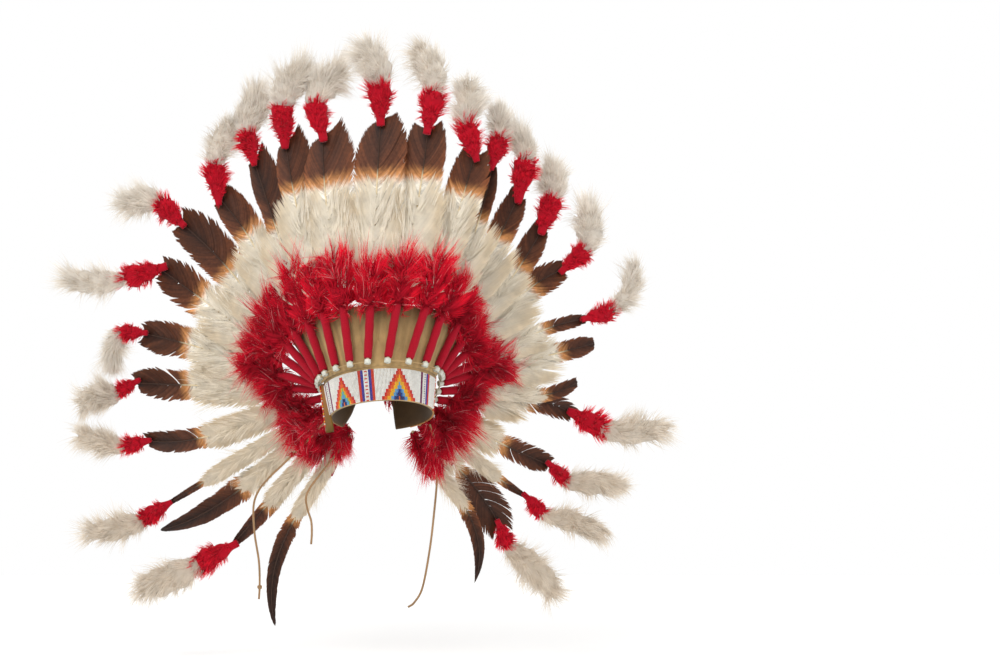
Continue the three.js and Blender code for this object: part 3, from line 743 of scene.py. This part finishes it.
# tip plumes, a row for each: feather, red bearing, red length, white bearing, white length,
# width, curl
tips = {
    "ahead": 8 * mm,
    "rows": [
        (2, -118, 60, -117, 95, 58, 10), (4, -121, 42, -108, 86, 46, 14),
        (5, -103, 36, -81, 82, 40, 10), (6, -119, 31, -100, 58, 52, -20),
        (7, -92, 35, -160, 60, 38, -10), (8, -106, 58, -95, 88, 44, 16),
        (9, -50, 48, -85, 64, 50, -20), (10, -5, 48, 4, 66, 46, 6), (11, -14, 43, -4, 66, 58, 4),
        (12, -4, 50, 4, 58, 58, 8), (13, -13, 50, 12, 58, 58, 18), (14, -3, 52, -18, 56, 60, -14),
        (15, 8, 60, -15, 76, 54, -20), (16, -15, 48, 9, 60, 48, -14),
        (17, 14, 44, -2, 42, 34, -12), (18, 9, 56, -22, 45, 40, -16), (19, 17, 52, -3, 50, 46, 10),
        (20, 45, 42, 5, 62, 50, -14), (21, 73, 40, 40, 84, 36, -30), (24, 117, 50, 93, 92, 50, -8),
        (25, 132, 33, 98, 93, 46, -6), (26, 133, 34, 105, 94, 40, 10),
        (27, 155, 36, 134, 112, 52, 8),
    ],
    "towards": {10: 24, 11: 26, 12: 26, 13: 20},  # mm the white ends lean to their neighbours
    "flat": 0.62,
    # along each body: its radius and how tall its tufts are, as shares
    "red": dict(
        at=[0, 0.2, 0.4, 0.7, 0.9, 1], body=[0.42, 0.56, 0.95, 1.3, 1.15, 0.15],
        tall=[0.3, 0.45, 0.8, 1, 1, 1.1], count=110, splay=(40, 86), many=6, spread=0.2,
        rootJitter=1.2 * mm, shortest=0.6, curl=0.3, draw=0.5, width=1.0 * mm, wander=0.2,
        # root is painted shade deep in the down and tip painted highlight
        vary=0.08, fade=0.6, root=linear(150, 6, 28), tip=linear(238, 30, 58),
    ),
    "white": dict(
        at=[0, 0.15, 0.4, 0.75, 1], body=[0.4, 0.8, 1.02, 0.98, 0.4],
        tall=[0.6, 0.85, 1, 1.12, 1.15], count=210, splay=(20, 70), many=6, spread=0.2,
        rootJitter=1.8 * mm, shortest=0.5, curl=0.3, draw=0.15, width=0.7 * mm, wander=0.35,
        # root is painted shade deep in the down and tip painted highlight
        turn=0.2, vary=0.08, fade=0.6, root=linear(214, 204, 190), tip=linear(240, 235, 227),
    ),
}


def makeTipPlume(row, rng):
    number, redBearing, red, whiteBearing, white, width, curl = row
    i, lean = number - 1, radians(24 if number % 2 else 8)

    def heading(bearing):
        turn = radians(bearing)
        level = cos(lean)
        return np.array([sin(turn) * level, sin(lean), cos(turn) * level])

    point, forward, front, across = shaftPlace(i, featherLength[i])
    start = point + front * tips["ahead"]
    redEnd = start + heading(redBearing) * red * mm
    whiteMid = redEnd + heading(whiteBearing) * white / 2 * mm
    whiteEnd = whiteMid + heading(whiteBearing + curl) * white / 2 * mm
    towards = np.array([tips["towards"].get(number, 0) * mm, 0, 0])
    line = smoothLine([start, redEnd, whiteMid + towards * 0.35, whiteEnd + towards], 60)
    reach = reachAlong(line)

    def spotAt(s):
        return np.stack([np.interp(s, reach, line[:, k]) for k in range(3)], axis=1)

    # Place and directions at shares t of the line, which goes straight on below its start.
    def at(t):
        s = t * reach[-1]
        spot = spotAt(s) + np.minimum(s, 0)[:, None] * unit(line[1] - line[0])
        way = unit(spotAt(s + 2 * mm) - spotAt(s - 2 * mm))
        side = unit(np.cross(way, np.array([0.0, -1.0, 0.0])))
        return spot, way, unit(np.cross(side, way)), side

    parts = []

    # A body, which is a flattened tube of radius half x body, and the tufts on it: a tuft's root is
    # at angle psi, it leans out by `splay` and is `length` x tall.
    def fluff(first, last, half, length, options):
        def bodyAt(u):
            return half * np.interp(u, options["at"], options["body"])

        u, count = np.linspace(0, 1, 22), options["count"]
        spot = at(mix(first, last, u))[0]
        body = tube(spot, bodyAt(u) * (1 + 0.1 * sin(u * 17 + number)), 12, flat=tips["flat"])
        parts.append((*body, (options["root"] + options["tip"]) / 2))
        u = rng.uniform(0, 1, count) ** 0.9
        spot, way, front, side = at(mix(first, last, u))
        psi = rng.uniform(0, 2 * pi, count)
        psi = np.where(sin(psi) < -0.5, -psi, psi)  # few behind
        out = side * cos(psi)[:, None] + front * sin(psi)[:, None] * tips["flat"]
        root = spot + out * (bodyAt(u) * 0.8)[:, None]
        splay = rng.uniform(*options["splay"], count) * np.interp(u, [0, 0.7, 1], [1, 1, 0.4])
        tall = length * rng.uniform(0.6, 1.12, count) * np.interp(u, options["at"], options["tall"])
        parts.append(tufts(rng, (root, way, front, side), radians(splay), psi, tall, options))

    lead = 12 * mm / reach[-1]  # the red begins a little below the shaft end
    redShare, ball = red / (red + white), min(46, red * 0.9) * mm
    redDown = dict(tips["red"], phase=number * 1.3)
    fluff(-lead, redShare * 0.96, 0.26 * ball, 0.42 * ball, redDown)
    whiteDown = dict(tips["white"], phase=number * 0.9, root=tips["white"]["root"] * lowShade(i),
                     tip=tips["white"]["tip"] * lowShade(i))
    fluff(redShare * 0.8, 0.95, 0.34 * width * mm, (15 + 0.32 * width) * mm, whiteDown)
    node = "tip_plume_%02d" % number
    makePiece(node + "_down", parts, down, [node])


rng = np.random.default_rng(47)
for row in tips["rows"]:
    makeTipPlume(row, rng)
print("tip plumes tied")

# bound quills: a bead, then red wool wound up the quill; the thong joins the feet
quills = {
    "bead": (4.5 * mm, 3.3 * mm, 1.5 * mm),  # radius, half height, hole
    "wrap": (4.5 * mm, 79.5 * mm, 5.7 * mm),  # from, to, radius
    "turn": 2.1 * mm,  # from one turn of the wool to the next
    "thong": 0.9 * mm,
    "lastBead": 130,  # the rearmost feet are lost in the down
    "wool": linear(158, 12, 34),
    "beadColour": linear(196, 197, 184),
}
# the wool's radius is wavy along s with a crest for each turn; a bead is a barrel round its hole,
# whose section is a rounded square (cos^0.5, sin^0.5)
start, end, radius = quills["wrap"]
s = np.linspace(start, end, 40)
swell = 1 + 0.035 * sin(s / quills["turn"] * 2 * pi)
swell = swell - 0.18 * smooth((start + 4 * mm - s) / (4 * mm))
r, h, hole = quills["bead"]
a = np.linspace(0, 2 * pi, 13)[:-1, None, None]
ring = (r + hole) / 2 + (r - hole) / 2 * np.sign(cos(a)) * np.abs(cos(a)) ** 0.5
rise = h * np.sign(sin(a)) * np.abs(sin(a)) ** 0.5
turn = np.linspace(0, 2 * pi, 17)[:-1, None]
beadFaces = gridFaces(13, 16) % (12 * 16)
for side, chosen in (("Left", ringAngle < 0), ("Right", ringAngle >= 0)):
    seen = np.flatnonzero(chosen & (np.abs(ringAngle) < quills["lastBead"]))
    wraps, beads = [], []
    for i in np.flatnonzero(chosen):
        point, forward, front, across = shaftPlace(i, 0)
        wraps.append((*tube(point + forward * s[:, None], radius * swell, 14), quills["wool"]))
        if i in seen:
            shell = point + forward * rise + ring * (cos(turn) * across + sin(turn) * front)
            beads.append((shell, beadFaces, quills["beadColour"]))
    thong = tube(smoothLine(featherFoot[seen], 6 * len(seen)), quills["thong"], 8)
    makePiece("woolWraps" + side, wraps, wool, ["quill_wraps_" + side.lower()])
    makePiece("footBeads" + side, beads, glass)
    makePiece("thong" + side, [(*thong, cap["outside"])], buckskin)
print("quills bound")

split = {"middle": 191.5, "half": 31.3 * mm, "top": 10 * mm, "flare": (24, 3), "columns": 97}


# The skullcap column by column: straight down from the brow ring to the rim, and above the ring
# radius cos(rise)^0.86 and height crown sin(rise)^0.92. Below the top of the split each row's
# turn opens by the split's half angle asin(half width / radius).
def capSheet(inset):
    below = -1 + np.linspace(0, 1, 12)
    rise = np.r_[0.04, 0.08, np.linspace(0.12, 1, 16)] * pi / 2
    radius = np.r_[1 + 0 * below, cos(rise) ** 0.86]
    dome = cap["crown"] * sin(rise) ** 0.92
    over = np.maximum(np.r_[below * 51 * mm, dome] - split["top"] + split["half"], 0)
    width = np.sqrt(np.maximum(split["half"] ** 2 - over**2, 0))
    opening = width / (cap["halfDepth"] * np.maximum(radius, 0.2))
    opening = np.degrees(np.arcsin(np.minimum(opening, 1)))
    flare = np.r_[below**2, 0 * rise]
    first = split["middle"] + opening + split["flare"][0] * flare
    last = split["middle"] + 360 - opening - split["flare"][1] * flare
    a = radians(np.linspace(first, last, split["columns"]))
    height = np.r_[-below * cap["rim"], dome]
    fit = radius * skirtFit(height)
    x = (cap["halfWidth"] - inset) * fit * sin(a)
    y = -(cap["halfDepth"] - inset) * fit * cos(a)
    z = np.where(height > 0, height * (1 - inset / cap["crown"]), height)
    return inCapFrame(np.stack(np.broadcast_arrays(x, y, z), axis=-1))


points, faces = closedWall(capSheet(0.0), capSheet(cap["wall"]))
tint = np.stack([cap["outside"], cap["inside"]]).repeat(points.shape[1] // 2, axis=0)
tint = np.tile(tint, (len(points), 1))
makePiece("skullcap", [(points, faces[:, ::-1], tint)], buckskin, ["cap"])

# the crown's skin drawn up behind the top quills: two sheets over f, the feather number, and s
# along the quill, sagging back by sag sin(pi f)^2 between quills
crownSkin = {"from": 8.3, "to": 17.7, "low": -5 * mm, "high": 84 * mm, "behind": 6.6 * mm,
             "sag": 3.0 * mm, "fold": 1.3 * mm, "wall": 1.4 * mm}
f, s = np.meshgrid(np.linspace(crownSkin["from"], crownSkin["to"], 115),
                   np.linspace(crownSkin["low"], crownSkin["high"], 24), indexing="ij")
sag = crownSkin["sag"] * sin(pi * f) ** 2 * smooth(s / (20 * mm))
fold = crownSkin["fold"] * sin(f * 17 + s * 40) * smooth(s / (30 * mm))
behind = -crownSkin["behind"] - sag - fold
sheets = [betweenPlace(f, s, behind - further)[0] for further in (0, crownSkin["wall"])]
points, faces = closedWall(*sheets)
# painted shade: the skin darker up towards the down that hangs over it and along its folds, and
# darker still on the back sheet
shade = 1 - 0.4 * smooth((s - 35 * mm) / (45 * mm))
shade = shade * (1 + 0.16 * sin(f * 17 + s * 40 + 1.2))
shade = np.concatenate([shade, 0.6 * shade[:, ::-1]], axis=1)
part = (points, faces[:, ::-1], cap["outside"] * shade[..., None])
makePiece("crownSkin", [part], buckskin)
print("cap made")

# browband: strings of seed beads over a leather strip
band = {
    "from": -78, "to": 78.5, "bottom": -49.5 * mm, "top": -8.5 * mm, "backing": 0.9 * mm,
    "columns": 112, "rows": 26, "beadSides": 6, "radius": 0.98 * mm,
    "colours": {
        "white": (228, 226, 220), "red": (196, 30, 40), "orange": (226, 96, 26),
        "yellow": (232, 178, 40), "green": (120, 176, 96), "sky": (96, 160, 205),
        "blue": (36, 84, 170), "navy": (30, 36, 96), "plum": (110, 30, 80),
        "scarlet": (206, 56, 40), "violet": (62, 56, 150),
    },
    # stepped triangles: middle angle, half the base in beads, height in rows; and their rings
    # of colour from the edge in, which the narrower one has too
    "triangles": ((23.4, 13.2, 26), (-40.2, 10.4, 24)),
    "rings": ["red", "scarlet", "orange", "orange", "yellow", "yellow", "green", "sky", "sky",
              "blue", "navy", "navy", "orange"],
    "ringCount": 13.2,
    # standing lines: first column, columns wide, colour, every how many rows
    "lines": (
        (42, 2, "scarlet", 1), (44, 2, "violet", 1), (47, 2, "scarlet", 3), (50, 2, "violet", 1),
        (52, 2, "scarlet", 1), (91, 2, "plum", 1), (95, 1, "navy", 2), (97, 2, "violet", 1),
        (99, 2, "scarlet", 1), (4, 2, "plum", 1), (8, 1, "navy", 2), (11, 2, "plum", 1),
    ),
    "edge": ["scarlet", "orange", "white", "scarlet", "yellow", "scarlet"],
}
stringStep = (band["to"] - band["from"]) / band["columns"]
beadColours = {name: linear(*colour) for name, colour in band["colours"].items()}


def bandColours(angle, column, row):
    tint = np.tile(beadColours["white"], (*angle.shape, 1))
    for middle, halfBase, top in band["triangles"]:
        across = np.abs(np.floor((angle - middle) / stringStep + 0.5))
        inside = np.floor((1 - (row // 3) / (top / 3)) * halfBase) - across
        ring = np.minimum(np.floor(inside * band["ringCount"] / halfBase), len(band["rings"]) - 1)
        for k, name in enumerate(band["rings"]):
            tint[(inside >= 0) & (ring == k) & (row < top)] = beadColours[name]
    for at, wide, name, every in band["lines"]:
        tint[(column >= at) & (column < at + wide) & (row % every == 0)] = beadColours[name]
    return tint


# Barrel beads standing on the cap: centres at an angle and height, three rings of points each,
# ring radius r (0.6, 1, 0.6), ring height h (-1/2, 0, 1/2).
def beadRows(angle, height, outside, radius, pitch, tint):
    centre = capPoint(angle, height, outside)[..., None, None, :]
    up = unit(capPoint(angle, height + mm, outside)[..., None, None, :] - centre)
    along = unit(capPoint(angle + 1, height) - capPoint(angle, height))[..., None, None, :]
    sides = band["beadSides"]
    a = np.linspace(0, 2 * pi, sides, endpoint=False)[:, None]
    ring = np.array([0.6, 1.0, 0.6])[:, None, None] * radius
    lift = np.array([-0.5, 0, 0.5])[:, None, None] * pitch * 0.98
    points = centre + up * lift + ring * (cos(a) * along + sin(a) * np.cross(along, up))
    k = np.arange(1, sides - 1)
    ends = [np.stack([0 * k, k + 1, k], 1), np.stack([0 * k, k, k + 1], 1) + 2 * sides]
    one = np.concatenate([gridFaces(3, sides), *ends])
    faces = one + (np.arange(angle.size) * 3 * sides)[:, None, None]
    return points, faces.reshape(-1, 3), tint.reshape(-1, 1, 3).repeat(3 * sides, axis=1)


# How far the band's left flap stands off the cap at a share of its height and u across it.
def flapAway(share, u):
    return (1 - u) * (4.6 + 4.4 * share) * mm


rng = np.random.default_rng(5)
bottom, top = band["bottom"], band["top"]
column, row = np.meshgrid(np.arange(band["columns"]), np.arange(band["rows"]), indexing="ij")
pitch = (top - bottom) / band["rows"]
angle = band["from"] + stringStep * (column + 0.5)
height = bottom + pitch * (row + 0.5)
tint = bandColours(angle, column, row) * rng.uniform(0.92, 1.05, angle.shape)[..., None]
angle = angle + rng.normal(0, 0.05, angle.shape)
radius = band["radius"]
parts = [beadRows(angle, height, band["backing"] + radius * 0.75, radius, pitch, tint)]
# a line of beads sewn on edge at each end; the first is on the flap
tint = np.array([beadColours[band["edge"][k % 6]] for k in range(32)])
height = np.linspace(-62 * mm, top + 2 * mm, 32)
away = flapAway((-4 * mm - height) / (68 * mm), 0.08) + 1.6 * mm
parts.append(beadRows(np.full(32, band["from"] - 5.6), height, away, 1.2 * mm, 1.8 * mm, tint))
height = np.linspace(bottom - 1 * mm, top + 2 * mm, 24)
angle = np.full(24, band["to"] + 2)
parts.append(beadRows(angle, height, 1.6 * mm, 1.1 * mm, 1.8 * mm, tint[:24]))
makePiece("bandBeads", parts, glass, ["browband"])
turn = np.linspace(band["from"] - 0.6, band["to"] + 0.6, 60)[:, None]
edges = np.array([bottom - 0.6 * mm, top + 0.6 * mm])
sheets = [capPoint(turn, edges, away) for away in (0.3 * mm, band["backing"])]
makePiece("bandBacking", [(*closedWall(*sheets), cap["backing"])], buckskin)

# a tawny flap of leather at the band's left end that widens downwards, rounds off and hangs free
# below the rim, and a cord along the right of the rim
share, u = np.linspace(0, 1, 18)[:, None], np.linspace(0, 1, 8)[None]
height = (-4 - 68 * share) * mm
taper = np.sqrt(1 - 0.93 * np.clip((share - 0.78) / 0.22, 0, 1) ** 2)
turn = band["from"] - 7.2 + (5.7 + 9 * share) * (0.5 + (u - 0.5) * taper)
away = flapAway(share, u) + 1.4 * mm
flap = closedWall(capPoint(turn, height, away), capPoint(turn, height, away - 1.1 * mm))
tint = np.repeat(mix(*cap["strip"], share)[:, None], 16, axis=1)
cord = tube(capPoint(np.linspace(81, 150, 60), cap["rim"]), 1.0 * mm, 7, facing=(0, 0, 1))
makePiece("capTrim", [(*flap, tint), (*cord, cap["binding"])], buckskin)
print("browband beaded")
